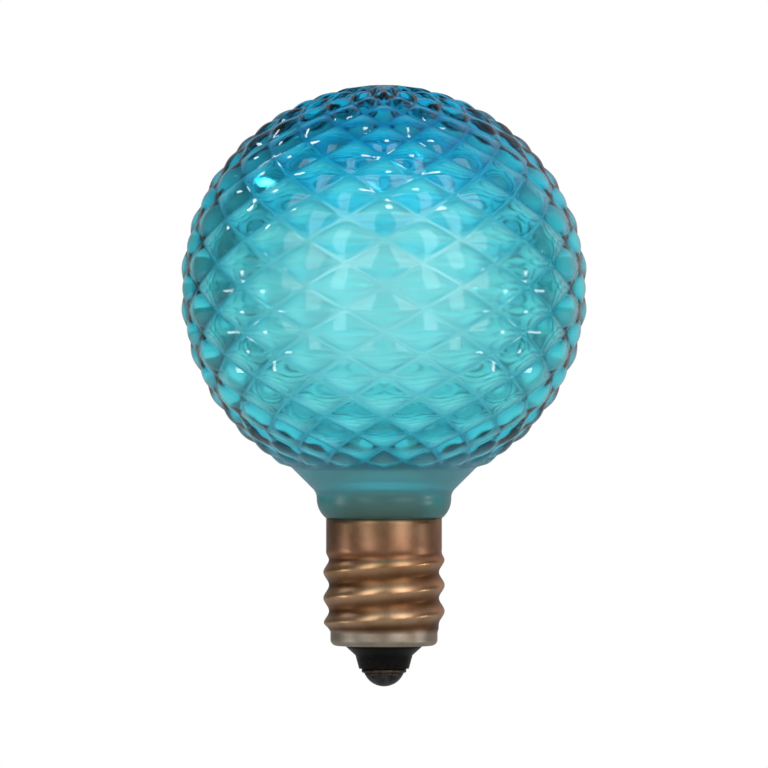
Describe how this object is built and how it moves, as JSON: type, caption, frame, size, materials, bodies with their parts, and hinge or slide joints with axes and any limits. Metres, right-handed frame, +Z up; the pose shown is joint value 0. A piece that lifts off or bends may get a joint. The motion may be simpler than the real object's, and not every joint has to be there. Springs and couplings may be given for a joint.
{
  "type": "christmas light bulb",
  "caption": "Faceted see-through globe bulb on a threaded metal screw base, with a diode board and driver inside, for a string of festive lights.",
  "frame": {"origin": "tip of the centre contact, on the bulb's axis, where the screw base seats in its lampholder", "axes": "+Z up along the bulb's axis from the contact to the crown of the globe, -Y towards the viewer of the picture"},
  "size_m": [0.0398, 0.0398, 0.0589],
  "materials": {
    "tinted_clear_plastic": "gloss",
    "worn_brass": "satin",
    "black_insulator": "gloss",
    "contact_brass": "satin",
    "solder": "satin",
    "cement": "matte",
    "tinned_copper": "satin",
    "green_board": "satin",
    "white_board": "satin",
    "led_white": "satin",
    "led_yellow": "satin",
    "component_black": "matte",
    "resistor_film": "satin",
    "capacitor_sleeve": "gloss"
  },
  "bodies": {
    "root": {"globe": "tinted_clear_plastic", "screw_shell": "worn_brass", "base_insulator": "black_insulator", "centre_contact": "contact_brass", "contact_solder": "solder", "base_cement": "cement", "live_lead": "tinned_copper", "neutral_lead": "tinned_copper", "driver_board": "green_board", "board_joints": "solder", "led_board": "white_board", "link_pin_left": "tinned_copper", "link_pin_right": "tinned_copper", "bridge_rectifier": "component_black", "current_regulator": "component_black", "sense_resistor": "component_black", "limit_resistor": "component_black", "fuse_resistor": "resistor_film", "smoothing_capacitor": "capacitor_sleeve", "led_package_1": "led_white", "led_phosphor_1": "led_yellow", "led_package_2": "led_white", "led_phosphor_2": "led_yellow", "led_package_3": "led_white", "led_phosphor_3": "led_yellow"}
  },
  "joints": []
}
